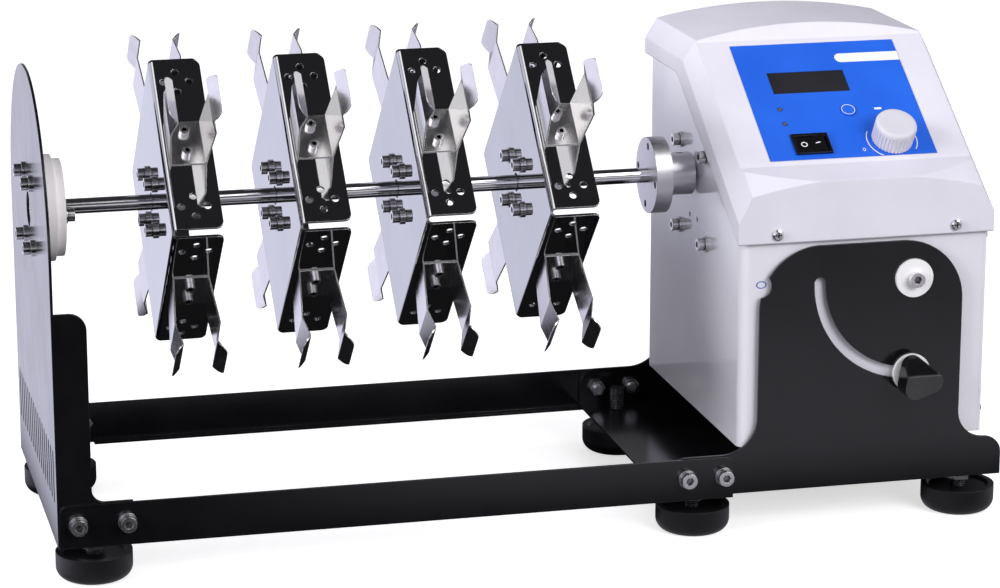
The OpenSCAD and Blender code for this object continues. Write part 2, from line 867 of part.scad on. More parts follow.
// Cut-outs for what passes the panel and the hood under it, from depth low to height high
module panel_cuts(low, high, extra)
    translate([0, 0, low])
        linear_extrude(high - low) {
            translate(window_at)
                square([window_w + extra, window_l + extra], center = true);
            translate(switch_at)
                square([switch_cut[0] + extra, switch_cut[1] + extra], center = true);
            for (p = lights_at)
                translate(p)
                    circle(d = led_d + 2 * fit + extra);
            translate(button_at)
                circle(d = button_d + 4 * fit + extra);
            translate(knob_at)
                circle(d = pot_bush_d + 2 * fit);
        }

// Posts that carry the display board under the hood
board_low = [-42, -70];
board_high = [21, -13];
module board_post_places()
    for (x = [board_low[0] + 4, board_high[0] - 4], y = [board_low[1] + 4, board_high[1] - 4])
        translate([x, y, 0])
            children();

module hood()
    color([0.88, 0.87, 0.9])
        difference() {
            union() {
                difference() {
                    hood_form(0);
                    scoop(0);
                    difference() {
                        hood_form(hood_wall);
                        scoop(panel_seat);
                    }
                }
                on_slope()
                    board_post_places()
                        translate([0, 0, -board_depth])
                            cylinder(d = 6, h = board_depth - panel_inset - 0.5);
            }
            facing_x(hood_mid_x - hood_half - 1, 2 * hood_half + 2)
                below_hood_area();
            on_slope() {
                translate([-panel_w / 2 - fit, -panel_l - fit, -panel_inset])
                    cube([panel_w + 2 * fit, panel_l + 2 * fit, panel_inset + 5]);
                panel_cuts(-panel_seat - 5, 1, 0.4);
            }
            for (s = [-1, 1])
                hood_screw_places(s)
                    rod_y(m3[0] + 2 * fit, -hood_wall - 1, hood_wall + 1);
        }

// Pan-head screws of the right cover and the hood
module pan_screw(length)
    difference() {
        rotate_extrude()
            polygon([[0, -length], [m3[0] / 2, -length], [m3[0] / 2, 0], [m3[1] / 2 + 0.4, 0],
                     [m3[1] / 2 + 0.4, 1.2], [m3[1] / 2 - 0.6, 2.1], [0, 2.3]]);
        for (a = [0, 90])
            rotate([0, 0, a])
                translate([-1.7, -0.35, 1])
                    cube([3.4, 0.7, 3]);
    }

module cover_screws()
    color([0.78, 0.78, 0.8]) {
        cover_screw_places()
            to_right()
                pan_screw(2 * head_sheet + 3);
        hood_screw_places(-1)
            to_front()
                pan_screw(hood_wall + hood_gap + head_sheet + 3);
        hood_screw_places(1)
            to_rear()
                pan_screw(hood_wall + hood_gap + head_sheet + 3);
    }

module control_panel()
    color([0.12, 0.41, 0.93])
        on_slope()
            difference() {
                translate([-panel_w / 2, -panel_l, -panel_inset])
                    cube([panel_w, panel_l, panel_t]);
                panel_cuts(-panel_inset - 1, panel_t + 1, 0);
            }

module display_window()
    color([0.08, 0.08, 0.1])
        on_slope()
            translate([window_at[0] - window_w / 2 + fit, window_at[1] - window_l / 2 + fit,
                       -panel_seat + 0.2])
                cube([window_w - 2 * fit, window_l - 2 * fit, panel_seat + panel_t - panel_inset - 0.4]);

// Circuit board with the display behind its window and the mode button's contact
module display_board()
    color([0.1, 0.35, 0.2])
        on_slope() {
            difference() {
                translate([board_low[0], board_low[1], -board_depth - board_t])
                    cube([board_high[0] - board_low[0], board_high[1] - board_low[1], board_t]);
                for (p = lights_at)
                    translate([p[0], p[1], -board_depth - board_t - 1])
                        cylinder(d = led_d - 0.5, h = board_t + 2);
            }
            translate([window_at[0] - window_w / 2 - 1, window_at[1] - window_l / 2 - 1, -board_depth])
                cube([window_w + 2, window_l + 2, board_depth - panel_seat - 0.2]);
            translate([button_at[0] - 3, button_at[1] - 3, -board_depth])
                cube([6, 6, 3]);
        }

module indicator_lights()
    color([0.35, 0.3, 0.3])
        on_slope()
            for (p = lights_at)
                translate([p[0], p[1], -board_depth]) {
                    tip = board_depth + panel_t - panel_inset - 0.6;
                    cylinder(d = led_d, h = tip);
                    translate([0, 0, tip])
                        intersection() {
                            sphere(d = led_d);
                            translate([-led_d, -led_d, -0.2])
                                cube([2 * led_d, 2 * led_d, led_d]);
                        }
                }

panel_face = panel_t - panel_inset;

module switch_body()
    color([0.07, 0.07, 0.08])
        on_slope()
            translate([switch_at[0], switch_at[1], panel_face])
                difference() {
                    union() {
                        translate([-switch_l / 2, -switch_w / 2, 0])
                            cube([switch_l, switch_w, 1.6]);
                        translate([-switch_cut[0] / 2 + fit, -switch_cut[1] / 2 + fit, -14])
                            cube([switch_cut[0] - 2 * fit, switch_cut[1] - 2 * fit, 15]);
                        for (x = [-5, 5])
                            translate([x - 0.4, -2.4, -20])
                                cube([0.8, 4.8, 7]);
                    }
                    translate([-rocker_r - clear, -rocker_w / 2 - clear, -11.5])
                        cube([rocker_l + 2 * clear, rocker_w + 2 * clear, 20]);
                    translate([0, 0, rocker_axis])
                        rod_y(2 + 2 * run, -switch_cut[1] / 2 + 0.6, switch_cut[1] / 2 - 0.6);
                }

// The rocker: a shallow V on top, round ends about its pins, resting with its left side pressed
module rocker()
    color([0.06, 0.06, 0.07])
        on_slope()
            translate([switch_at[0], switch_at[1], panel_face + rocker_axis]) {
                crest = 2.2;
                half_swing = rocker_swing / 2;
                rotate([0, -half_swing, 0]) {
                    upright(-rocker_w / 2, rocker_w)
                        intersection() {
                            circle(rocker_r);
                            polygon([[-rocker_r, crest + rocker_r * tan(half_swing)], [0, crest],
                                     [rocker_r, crest + rocker_r * tan(half_swing)],
                                     [rocker_r, -3], [3, -8], [-3, -8], [-rocker_r, -3]]);
                        }
                    rod_y(2, -switch_cut[1] / 2 + 0.9, switch_cut[1] / 2 - 0.9);
                }
            }

module mode_button()
    color([0.12, 0.41, 0.93])
        on_slope()
            translate([button_at[0], button_at[1], 0]) {
                stem_end = -board_depth + 3 + button_travel + 0.1;
                translate([0, 0, -1.6])
                    cylinder(d = button_d, h = 1.6 + panel_face + 0.8);
                translate([0, 0, stem_end])
                    cylinder(d = 3.5, h = -stem_end - 1);
            }

module potentiometer()
    color([0.3, 0.3, 0.33])
        on_slope()
            translate([knob_at[0], knob_at[1], 0])
                difference() {
                    union() {
                        translate([0, 0, -panel_seat - 10])
                            cylinder(d = pot_d, h = 10);
                        translate([0, 0, -panel_seat - 1])
                            cylinder(d = pot_bush_d, h = panel_seat + 1 + panel_face);
                        translate([-4, -pot_d / 2 - 4, -panel_seat - 8])
                            cube([8, 6, 1]);
                    }
                    translate([0, 0, -panel_seat - 8])
                        cylinder(d = pot_shaft_d + 2 * run, h = panel_seat + 12);
                }

// The knob's cap and the potentiometer shaft that it is pressed on
module speed_knob()
    color([0.87, 0.86, 0.89])
        on_slope()
            translate([knob_at[0], knob_at[1], panel_face + clear]) {
                edge = 2;
                skirt = knob_h - edge - 1.5;
                difference() {
                    rotate_extrude() {
                        area([0, 0], [knob_d / 2, knob_h - edge]);
                        area([0, 0], [knob_d / 2 - edge, knob_h]);
                        translate([knob_d / 2 - edge, knob_h - edge])
                            circle(edge);
                    }
                    translate([0, 0, -1])
                        cylinder(d = pot_shaft_d + 0.04, h = knob_h - 3);
                    for (i = [0:knob_grooves - 1])
                        rotate([0, 0, i * 360 / knob_grooves])
                            translate([knob_d / 2 + 0.35, 0, -1])
                                cylinder(d = 1.6, h = skirt + 1, $fn = 24);
                }
                translate([0, 0, -panel_face - clear - panel_seat - 7.5])
                    cylinder(d = pot_shaft_d, h = panel_face + clear + panel_seat + 7.5 + knob_h - 4.2);
            }

// Mains inlet in the rear wall: bezel, socket body and three pins
module power_inlet()
    color([0.08, 0.08, 0.09])
        inlet_place() {
            difference() {
                union() {
                    upright(0, 2)
                        soft_area([-inlet_w / 2, -inlet_h / 2], [inlet_w / 2, inlet_h / 2], 3);
                    upright(-18, 19)
                        area([-inlet_w / 2 + 2 + fit, -inlet_h / 2 + 2 + fit],
                             [inlet_w / 2 - 2 - fit, inlet_h / 2 - 2 - fit]);
                }
                upright(-15, 20)
                    soft_area([-inlet_w / 2 + 4, -inlet_h / 2 + 4], [inlet_w / 2 - 4, inlet_h / 2 - 4], 2);
            }
            for (p = [[-6, -1], [0, 2], [6, -1]])
                translate([p[0] - 1, -16, p[1] - 2])
                    cube([2, 11, 4]);
        }

// Tilt pivot and clamp

module pivot_bolts()
    color([0.75, 0.75, 0.77])
        for (s = [-1, 1])
            translate([pivot_x, s * (plate_y + pivot_washer[1]), pivot_z])
                rotate([s * -90, 0, 0])
                    socket_screw([m5[0], m5[1], m5[2] - 0.2, m5[1], 0.2],
                                 pivot_washer[1] + sheet + head_side_gap + head_sheet + m5_nut[2] + 1);

module pivot_nuts()
    color([0.7, 0.7, 0.72]) {
        for (s = [-1, 1])
            translate([pivot_x, s * (head_y - head_sheet), pivot_z])
                rotate([s * 90, 0, 0])
                    hex_nut(m5_nut);
        translate([pivot_x, -head_y + head_sheet, clamp_z])
            to_rear()
                hex_nut(clamp_nut);
    }

module ring_y(outer, inner, y0, t)
    difference() {
        rod_y(outer, y0, y0 + t);
        rod_y(inner, y0 - 1, y0 + t + 1);
    }

// White washers outside the yoke and spacers between the yoke and the head
module nylon_washers()
    color([0.93, 0.92, 0.93]) {
        translate([pivot_x, 0, pivot_z]) {
            ring_y(pivot_washer[0], m5[0] + 2 * fit, -plate_y - pivot_washer[1], pivot_washer[1]);
            ring_y(pivot_washer[0], m5[0] + 2 * fit, plate_y, pivot_washer[1]);
            ring_y(spacer_d, m5[0] + 2 * fit, -plate_y + sheet, head_side_gap);
            ring_y(spacer_d, m5[0] + 2 * fit, plate_y - sheet - head_side_gap, head_side_gap);
        }
        translate([pivot_x, 0, clamp_z]) {
            ring_y(pivot_washer[0], clamp_stud_d + 2 * fit, -plate_y - pivot_washer[1], pivot_washer[1]);
            ring_y(spacer_d, clamp_stud_d + 2 * fit, -plate_y + sheet, head_side_gap);
        }
    }

module clamp_stud()
    color([0.7, 0.7, 0.72])
        translate([pivot_x, 0, clamp_z])
            rod_y(clamp_stud_d, front_reach + 4, -head_y + head_sheet + 6);

// Rounded triangular clamp knob on the stud, its top sloping down to the end
module clamp_knob()
    color([0.05, 0.05, 0.06])
        translate([pivot_x, front_reach, clamp_z]) {
            corner_at = 5.8;
            corner_r = 6.2;
            collar_d = 15;
            collar = 4;
            slope_low = 2.5;
            slope_high = 11;
            slope_l = clamp_knob_h - collar - 1;
            difference() {
                union() {
                    upright(0, clamp_knob_h - collar)
                        rotate(-10)
                            soft_triangle(corner_at, corner_r);
                    rod_y(collar_d, clamp_knob_h - collar - 1, clamp_knob_h);
                }
                rod_y(clamp_stud_d + 2 * run, 3, clamp_knob_h + 1);
                facing_x(-2 * collar_d, 4 * collar_d)
                    polygon([[0, slope_low], [slope_l, slope_high], [slope_l, 2 * collar_d],
                             [-1, 2 * collar_d], [-1, slope_low]]);
            }
        }

// A triangle with round corners, its corner centres at the given distance from the middle
module soft_triangle(at, r) {
    corners = [0, 120, 240];
    polygon([for (a = corners, e = [-60, 60]) [at * cos(a) + r * cos(a + e), at * sin(a) + r * sin(a + e)]]);
    for (a = corners)
        translate([at * cos(a), at * sin(a)])
            circle(r);
}

// Drive

// Half the angle of a shifted involute tooth at radius rho, in degrees
function involute_of(angle) = tan(angle) * 180 / PI - angle;
function half_tooth(rho, pitch_r, shift) =
    let (base_r = pitch_r * cos(pressure_angle),
         thick = gear_module * (PI / 2 + 2 * shift * tan(pressure_angle)) - backlash)
    thick / 2 / pitch_r * 180 / PI + involute_of(pressure_angle) - involute_of(acos(min(1, base_r / rho)));

module gear_area(teeth, shift, turn) {
    pitch_r = gear_module * teeth / 2;
    base_r = pitch_r * cos(pressure_angle);
    tip_r = pitch_r + gear_module * (1 + shift);
    root_r = pitch_r - gear_module * (1.25 - shift);
    start_r = max(base_r, root_r);
    steps = 4;
    flank = [for (k = [0:steps]) start_r + (tip_r - start_r) * k / steps];
    tooth = concat([[root_r, half_tooth(start_r, pitch_r, shift)]],
                   [for (rho = flank) [rho, half_tooth(rho, pitch_r, shift)]]);
    count = len(tooth);
    polygon([for (i = [0:teeth - 1], k = [0:2 * count - 1])
        let (p = k < count ? tooth[k] : tooth[2 * count - 1 - k],
             a = turn + i * 360 / teeth + (k < count ? -p[1] : p[1]))
        [p[0] * cos(a), p[0] * sin(a)]]);
}

toward_idler_from_output = atan2(idler_z - shaft_z, idler_y);
toward_idler_from_motor = atan2(idler_z - motor_z, idler_y);

module gearbox_case()
    color([0.72, 0.73, 0.75])
        difference() {
            union() {
                difference() {
                    translate([gearbox_x, -gearbox_side / 2, motor_z - gearbox_side / 2])
                        cube([gearbox_length, gearbox_side, gearbox_side]);
                    translate([gearbox_x + gearbox_wall, -gearbox_inside / 2, motor_z - gearbox_inside / 2])
                        cube([gearbox_length, gearbox_inside, gearbox_inside]);
                }
                gearbox_screw_places()
                    rod_x(9, gearbox_x + 1, lid_x);
                translate([0, 0, shaft_z])
                    rod_x(output_d + 6, gearbox_x + 1, output_gear_x - 0.4);
            }
            translate([0, 0, shaft_z])
                rod_x(output_d + 2 * run, gearbox_x - 1, output_gear_x + 1);
            translate([0, idler_y, idler_z])
                rod_x(idler_shaft_d + 2 * run, gearbox_x + 1.2, lid_x);
            gearbox_screw_places()
                rod_x(m4[0] + 2 * fit, gearbox_x - 1, gearbox_x + motor_screw_grip + 2);
        }

module gearbox_lid()
    color([0.68, 0.69, 0.71])
        difference() {
            translate([lid_x, -gearbox_side / 2, motor_z - gearbox_side / 2])
                cube([gearbox_wall, gearbox_side, gearbox_side]);
            translate([0, 0, motor_z])
                rod_x(motor_shaft_d + 2 * run, lid_x - 1, motor_x + 1);
            translate([0, idler_y, idler_z])
                rod_x(idler_shaft_d + 2 * run, lid_x - 1, lid_x + gearbox_wall - 1);
        }

module motor_can()
    color([0.55, 0.56, 0.58])
        translate([0, 0, motor_z])
            difference() {
                rod_x(motor_d, motor_x, motor_x + motor_length);
                rod_x(motor_d - 5, motor_x - 1, motor_x + motor_length - 4);
                rod_x(motor_shaft_d + 2 * run, motor_x, motor_x + motor_length - 1);
            }

module motor_rotor()
    color([0.65, 0.5, 0.35])
        translate([0, 0, motor_z]) {
            rod_x(motor_shaft_d, first_stage_x, motor_x + motor_length - 1.5);
            rod_x(motor_d - 18, motor_x + 8, motor_x + motor_length - 12);
            facing_x(first_stage_x, gear_w)
                gear_area(pinion_teeth, tooth_shift, toward_idler_from_motor);
        }

module idler_gear()
    color([0.75, 0.65, 0.35])
        translate([0, idler_y, idler_z]) {
            rod_x(idler_shaft_d, gearbox_x + 1.4, lid_x + gearbox_wall - 1.2);
            facing_x(output_gear_x, gear_w)
                gear_area(pinion_teeth, tooth_shift, toward_idler_from_output + 180);
            facing_x(first_stage_x, gear_w)
                gear_area(gear_teeth, -tooth_shift, toward_idler_from_motor + 180 + 180 / gear_teeth);
        }

module output_shaft()
    color([0.75, 0.75, 0.77])
        translate([0, 0, shaft_z]) {
            rod_x(output_d, hub_shaft_end + 0.5, output_gear_x + gear_w + 0.8);
            facing_x(output_gear_x, gear_w)
                gear_area(gear_teeth, -tooth_shift, toward_idler_from_output + 180 / gear_teeth);
        }

module motor_screws()
    color([0.75, 0.75, 0.77])
        gearbox_screw_places()
            translate([head_x, 0, 0])
                to_left()
                    socket_screw(m4, head_sheet + motor_screw_grip);

// Rotor

// A flanged hub along +X from the origin, with four tapped holes on a circle in its flange
module hub_form(turn, pcd)
    difference() {
        union() {
            rod_x(hub_d, 0, hub_flange);
            rod_x(hub_boss_d, hub_flange - 1, hub_flange + hub_boss);
        }
        for (a = [0:90:270])
            rotate([turn + a, 0, 0])
                translate([0, 0, pcd / 2])
                    rod_x(m4[0] + 2 * fit, -1, hub_flange + 1);
    }

module drive_hub()
    color([0.8, 0.8, 0.83])
        translate([hub_x, 0, shaft_z])
            difference() {
                hub_form(drive_hub_turn, hub_pcd);
                rod_x(shaft_d + 0.04, -1, hub_shaft_end - hub_x);
                rod_x(output_d + 0.04, 0, hub_flange + hub_boss + 1);
                set_screw_places()
                    cylinder(d = m4[0] + 0.04, h = hub_d);
            }

// Set screws: one down through the boss on the output shaft, one through the flange's rim on the rotor shaft
module set_screw_places() {
    translate([hub_flange + hub_boss * 0.6, 0, 0])
        children();
    translate([hub_flange * 0.3, 0, 0])
        rotate([-135, 0, 0])
            children();
}

module hub_set_screws()
    color([0.3, 0.3, 0.32])
        translate([hub_x, 0, shaft_z])
            set_screw_places()
                translate([0, 0, shaft_d / 2 + 0.05])
                    difference() {
                        cylinder(d = m4[0], h = 6);
                        translate([0, 0, 4])
                            cylinder(d = 2.3, h = 3, $fn = 6);
                    }

module rotor_shaft()
    color([0.75, 0.75, 0.77])
        translate([0, 0, shaft_z]) {
            nose_end = sheet + block_flange + block_nose;
            rod_x(journal_d, sheet + 1, nose_end + 1);
            rod_x(shaft_d, nose_end + 0.6, hub_shaft_end);
        }

function holder_x(i) = holder_first + i * holder_pitch;

// Turns children to a holder's flange: +Z out of the flange, +Y along it
module on_flange(j)
    rotate([45 + 90 * j, 0, 0])
        children();

// One flange with its bend, spare holes and clip screw holes
module holder_flange_form() {
    half = holder_side / 2;
    upright(-flange_l / 2, flange_l)
        translate([holder_bend_r, half - holder_bend_r])
            intersection() {
                difference() {
                    circle(holder_bend_r);
                    circle(holder_bend_r - holder_sheet);
                }
                area([-holder_bend_r, 0], [0, holder_bend_r]);
            }
    difference() {
        translate([0, 0, half - holder_sheet])
            linear_extrude(holder_sheet)
                difference() {
                    soft_area([holder_bend_r - 2 * holder_corner_r, -flange_l / 2],
                              [holder_flange, flange_l / 2], holder_corner_r);
                    area([-holder_flange, -half], [holder_bend_r, half]);
                }
        translate([0, 0, half - holder_sheet - 1])
            linear_extrude(holder_sheet + 2) {
                for (s = [-1, 1], a = [0:90:270])
                    translate([clip_x + spare_hole_reach[0] * cos(a),
                               s * hole_group_at + spare_hole_reach[1] * sin(a)])
                        circle(d = spare_hole_d, $fn = 32);
                for (s = [-1, 1])
                    translate([clip_x, s * clip_screw_pitch / 2])
                        circle(d = m3[0] + 2 * fit, $fn = 32);
            }
    }
}

module holder(i)
    color([0.8, 0.8, 0.84])
        translate([holder_x(i), 0, shaft_z])
            difference() {
                union() {
                    on_flange(0)
                        facing_x(0, holder_sheet)
                            square(holder_side - 2 * holder_bend_r, center = true);
                    for (j = [0:3])
                        on_flange(j)
                            holder_flange_form();
                }
                rod_x(shaft_d + 2, -1, holder_sheet + 1);
                for (j = [0:3])
                    on_flange(j)
                        translate([0, 0, holder_pcd / 2])
                            rod_x(m4[0] + 2 * fit, -1, holder_sheet + 1);
            }

module holder_hubs()
    color([0.8, 0.8, 0.83])
        for (i = [0:holder_count - 1])
            translate([holder_x(i) + holder_sheet, 0, shaft_z])
                difference() {
                    hub_form(45, holder_pcd);
                    rod_x(shaft_d + 0.04, -1, hub_flange + hub_boss + 1);
                }

module holder_screws()
    color([0.6, 0.6, 0.62])
        for (i = [0:holder_count - 1], j = [0:3])
            translate([holder_x(i), 0, shaft_z])
                on_flange(j)
                    translate([0, 0, holder_pcd / 2])
                        to_left()
                            socket_screw(m4, holder_sheet + hub_flange - 1);

// A spring clip's cross-section over its flange: base, bulged arms, neck and flared tips
module clip_area() {
    t = clip_t;
    outer = [[clip_base, 0], clip_bulge, clip_neck, clip_tip];
    inner = [[clip_tip[0], clip_tip[1] + t], [clip_neck[0] - t, clip_neck[1] + t * 0.7],
             [clip_bulge[0] - t, clip_bulge[1]], [clip_base - t, t]];
    left = [for (p = concat(outer, inner)) [-p[0], p[1]]];
    polygon(concat(outer, inner, [for (i = [len(left) - 1:-1:0]) left[i]]));
}

// A clip standing on a flange, with round corners on its tips
module clip()
    translate([clip_x, 0, holder_side / 2])
        difference() {
            intersection() {
                upright(-clip_l / 2, clip_l)
                    clip_area();
                facing_x(-2 * clip_tip[0], 4 * clip_tip[0])
                    soft_area([-clip_l / 2, -3 * clip_corner_r],
                              [clip_l / 2, clip_tip[1] + clip_t], clip_corner_r);
            }
            for (s = [-1, 1])
                translate([0, s * clip_screw_pitch / 2, -1])
                    cylinder(d = m3[0] + 2 * fit, h = clip_t + 2);
        }

module clips(i)
    color([0.8, 0.8, 0.84])
        translate([holder_x(i), 0, shaft_z])
            for (j = [0:3])
                on_flange(j)
                    clip();

module clip_screws()
    color([0.6, 0.6, 0.62])
        for (i = [0:holder_count - 1], j = [0:3], s = [-1, 1])
            translate([holder_x(i), 0, shaft_z])
                on_flange(j)
                    translate([clip_x, s * clip_screw_pitch / 2, holder_side / 2 + clip_t])
                        socket_screw([m3[0], m3[1], m3[2], m3[1], 0.2], clip_t + holder_sheet + 2.5);

place() yoke();
place() front_rail();
place() rear_rail();
place() end_support();
place() bearing_block();
place() end_bearing();
place() bearing_screws();
place() rail_screws();
place() rail_nuts();
place() foot_nuts();
place() head_shell();
place() right_cover();
place() bottom_plate();
place() hood();
place() cover_screws();
place() control_panel();
place() display_window();
place() display_board();
place() indicator_lights();
place() switch_body();
place() potentiometer();
place() power_inlet();
place() gearbox_case();
place() gearbox_lid();
place() motor_can();
place() motor_screws();
place() pivot_bolts();
place() pivot_nuts();
place() nylon_washers();
place() clamp_stud();
place() clamp_knob();
place() speed_knob();
place() rocker();
place() mode_button();
place() motor_rotor();
place() idler_gear();
place() output_shaft();
place() drive_hub();
place() hub_set_screws();
place() rotor_shaft();
place() holder(0);  // holder_1
place() holder(1);  // holder_2
place() holder(2);  // holder_3
place() holder(3);  // holder_4
place() holder_hubs();
place() holder_screws();
place() clips(0);  // clips_1
place() clips(1);  // clips_2
place() clips(2);  // clips_3
place() clips(3);  // clips_4
place() clip_screws();
place() levelling_foot(0);  // foot_1
place() levelling_foot(1);  // foot_2
place() levelling_foot(2);  // foot_3
place() levelling_foot(3);  // foot_4
place() levelling_foot(4);  // foot_5
place() levelling_foot(5);  // foot_6
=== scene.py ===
"""Looks of the laboratory tube rotator: materials, printed marks, stage, light and camera."""
import json
import math

import bpy
from mathutils import Matrix, Vector


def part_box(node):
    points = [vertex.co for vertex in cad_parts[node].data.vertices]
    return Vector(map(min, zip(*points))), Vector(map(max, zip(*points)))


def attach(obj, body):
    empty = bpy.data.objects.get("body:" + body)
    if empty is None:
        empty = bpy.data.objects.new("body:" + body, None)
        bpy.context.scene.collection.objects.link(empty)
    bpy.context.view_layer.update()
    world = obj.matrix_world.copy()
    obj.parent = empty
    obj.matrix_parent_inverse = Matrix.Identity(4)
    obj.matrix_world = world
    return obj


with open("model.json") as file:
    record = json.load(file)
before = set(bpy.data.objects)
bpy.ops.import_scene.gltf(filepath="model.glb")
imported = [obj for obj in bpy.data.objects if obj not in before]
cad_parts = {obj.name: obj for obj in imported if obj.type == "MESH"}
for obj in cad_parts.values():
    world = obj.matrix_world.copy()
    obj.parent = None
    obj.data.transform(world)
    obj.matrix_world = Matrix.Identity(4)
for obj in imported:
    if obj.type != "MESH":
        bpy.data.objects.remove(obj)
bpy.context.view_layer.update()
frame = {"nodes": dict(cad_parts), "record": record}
nodes = frame["nodes"]
scene = bpy.context.scene

# Sizes shared with the part's source, in metres; places on the panel are in the panel's own frame
SHIFT = Vector((-0.2612, 0.0058, 0.0))
SHAFT_Z = 0.1845
SLOPE = math.radians(33.2)
PANEL_TOP = Vector((0.44585, 0.0087, 0.254)) + SHIFT
PANEL_W = 0.0968
PANEL_FACE = 0.0002
KNOB_AT = (0.0252, -0.0796)
BUTTON_AT = (0.0064, -0.0553)
BUTTON_RISE = 0.0008
SWITCH_AT = (-0.0219, -0.0805)
ROCKER_AXIS = PANEL_FACE - 0.0016
ROCKER_BEND = math.radians(16)
ROCKER_HEIGHT = 0.0022 * math.cos(ROCKER_BEND / 2)
HEAD_FRONT = -0.08885 + SHIFT.y
NOTCH_X = 0.3846 + SHIFT.x
NOTCH_Z = 0.1403
FOOT_COUNT = 6


# Nodes

def new_material(name):
    mat = bpy.data.materials.new(name)
    mat.use_nodes = True
    tree = mat.node_tree
    return mat, tree, tree.nodes["Principled BSDF"]


def add(tree, kind, **values):
    node = tree.nodes.new(kind)
    for key, value in values.items():
        setattr(node, key, value)
    return node


def object_coords(tree):
    return add(tree, "ShaderNodeTexCoord").outputs["Object"]


def noise(tree, scale, detail, rough, stretch=None):
    """Noise over the part's frame in metres, stretched by a vector if one is given."""
    source = object_coords(tree)
    if stretch:
        mapping = add(tree, "ShaderNodeMapping")
        mapping.inputs["Scale"].default_value = stretch
        tree.links.new(source, mapping.inputs["Vector"])
        source = mapping.outputs["Vector"]
    tex = add(tree, "ShaderNodeTexNoise")
    tex.inputs["Scale"].default_value = scale
    tex.inputs["Detail"].default_value = detail
    tex.inputs["Roughness"].default_value = rough
    tree.links.new(source, tex.inputs["Vector"])
    return tex.outputs["Fac"]


def map_range(tree, value, start, end, low, high, kind):
    node = add(tree, "ShaderNodeMapRange", interpolation_type=kind)
    node.inputs["From Min"].default_value = start
    node.inputs["From Max"].default_value = end
    node.inputs["To Min"].default_value = low
    node.inputs["To Max"].default_value = high
    tree.links.new(value, node.inputs["Value"])
    return node.outputs["Result"]


def ramp(tree, fac, low, high):
    """Maps a 0.3 to 0.7 texture value to the range from low to high."""
    return map_range(tree, fac, 0.3, 0.7, low, high, "LINEAR")


def smooth(tree, value, start, end, low=0.0, high=1.0):
    """A soft step of a value, from low at its start to high at its end."""
    return map_range(tree, value, start, end, low, high, "SMOOTHSTEP")


def combine(tree, first, second, operation):
    node = add(tree, "ShaderNodeMath", operation=operation)
    tree.links.new(first, node.inputs[0])
    tree.links.new(second, node.inputs[1])
    return node.outputs["Value"]


def product(tree, first, second):
    return combine(tree, first, second, "MULTIPLY")


def larger(tree, first, second):
    return combine(tree, first, second, "MAXIMUM")


def vector_step(tree, operation, vector, second=None):
    """One step of vector arithmetic, with a constant as its second operand if one is given."""
    node = add(tree, "ShaderNodeVectorMath", operation=operation)
    tree.links.new(vector, node.inputs[0])
    if second is not None:
        node.inputs[1].default_value = second
    return node.outputs


# Materials

# Radians a metre of the turning lines, and radians a unit of Blender's own wave texture
TURNING_LINES = 9000.0
WAVE_RADIANS = 20
# Share of the way along the shaft that counts towards the radius of the turning lines
ALONG_SHAFT = 0.6
# How strongly the painted shade darkens hollows that the piece's own faces close in
PAINTED_SHADE_POWER = 2.0
AO_SAMPLES = 8
BEVEL_SAMPLES = 4


def mix_colours(tree, fac, first, second):
    node = add(tree, "ShaderNodeMix", data_type="RGBA")
    node.inputs["A"].default_value = (*first, 1)
    node.inputs["B"].default_value = (*second, 1)
    tree.links.new(fac, node.inputs["Factor"])
    return node.outputs["Result"]


def painted_hollow_shade(tree, colour, reach):
    """Painted shade: darkens a colour where the piece's own faces close in within a reach."""
    node = add(tree, "ShaderNodeAmbientOcclusion", only_local=True, samples=AO_SAMPLES)
    node.inputs["Distance"].default_value = reach
    open_share = add(tree, "ShaderNodeMath", operation="POWER")
    open_share.inputs[1].default_value = PAINTED_SHADE_POWER
    tree.links.new(node.outputs["AO"], open_share.inputs[0])
    shade = add(tree, "ShaderNodeVectorMath", operation="SCALE")
    tree.links.new(colour, shade.inputs[0])
    tree.links.new(open_share.outputs[0], shade.inputs["Scale"])
    return shade.outputs["Vector"]


def drifting(tree, bsdf, drift, dark, light, rough, painted_shade_reach=0.0):
    """Lets a slow noise drift the colour and the gloss; a reach paints shade into the hollows within it."""
    colour = mix_colours(tree, ramp(tree, drift, 0.0, 1.0), dark, light)
    if painted_shade_reach:
        colour = painted_hollow_shade(tree, colour, painted_shade_reach)
    tree.links.new(colour, bsdf.inputs["Base Color"])
    tree.links.new(ramp(tree, drift, *rough), bsdf.inputs["Roughness"])


def bump(tree, bsdf, height, strength, distance, edge=0.0):
    """Fine relief on the surface, on edges softened by a small radius."""
    node = add(tree, "ShaderNodeBump")
    node.inputs["Strength"].default_value = strength
    node.inputs["Distance"].default_value = distance
    tree.links.new(height, node.inputs["Height"])
    if edge:
        bevel = add(tree, "ShaderNodeBevel", samples=BEVEL_SAMPLES)
        bevel.inputs["Radius"].default_value = edge
        tree.links.new(bevel.outputs["Normal"], node.inputs["Normal"])
    tree.links.new(node.outputs["Normal"], bsdf.inputs["Normal"])


def surface(name, dark, light, rough, metallic=0.0, grain=900.0, relief=0.1, depth=0.00005, edge=0.0004,
            coat=0.0, coat_rough=0.1, stretch=None, patch=25.0, specular=0.5, painted_shade_reach=0.0):
    """A procedural finish: slow colour drift, uneven gloss, a fine grain and, if asked, painted shade in
    its hollows.
    """
    mat, tree, bsdf = new_material(name)
    drift = noise(tree, patch, detail=4.0, rough=0.6)
    fine = noise(tree, grain, detail=2.0, rough=0.5, stretch=stretch)
    drifting(tree, bsdf, drift, dark, light, rough, painted_shade_reach)
    bsdf.inputs["Metallic"].default_value = metallic
    bsdf.inputs["Specular IOR Level"].default_value = specular
    bsdf.inputs["Coat Weight"].default_value = coat
    bsdf.inputs["Coat Roughness"].default_value = coat_rough
    bump(tree, bsdf, fine, relief, depth, edge)
    return mat


